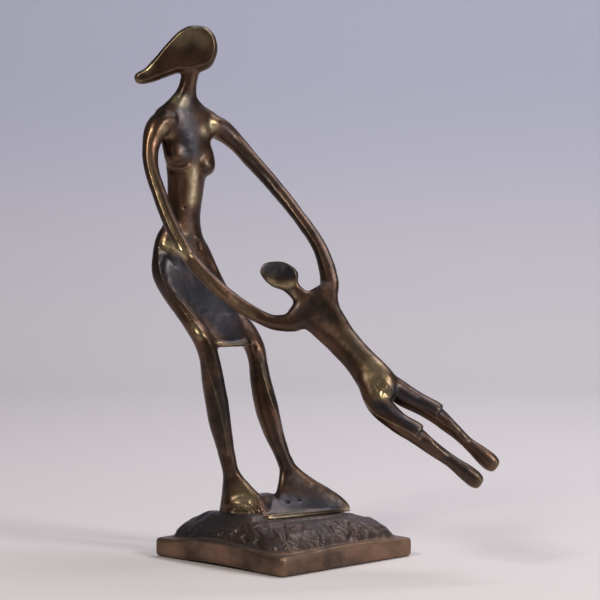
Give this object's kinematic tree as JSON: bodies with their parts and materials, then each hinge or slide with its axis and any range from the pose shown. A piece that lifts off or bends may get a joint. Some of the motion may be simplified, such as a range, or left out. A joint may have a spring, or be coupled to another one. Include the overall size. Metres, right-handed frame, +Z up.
{
  "type": "mother and child sculpture",
  "caption": "Cast bronze table sculpture of a standing mother in a swept skirt who holds up a flying child, on a square base with a rocky mound.",
  "frame": {"origin": "centre of the base's underside", "axes": "+Z up, base sides along X and Y, the mother faces -Y"},
  "size_m": [0.1372, 0.2108, 0.3474],
  "materials": {
    "figures": "dark brown patinated bronze, satin to glossy, worn to pale gold on raised places",
    "base": "satin brown patinated bronze, rougher on the mound"
  },
  "bodies": {
    "root": {"figures": "figures", "base": "base"}
  },
  "joints": []
}
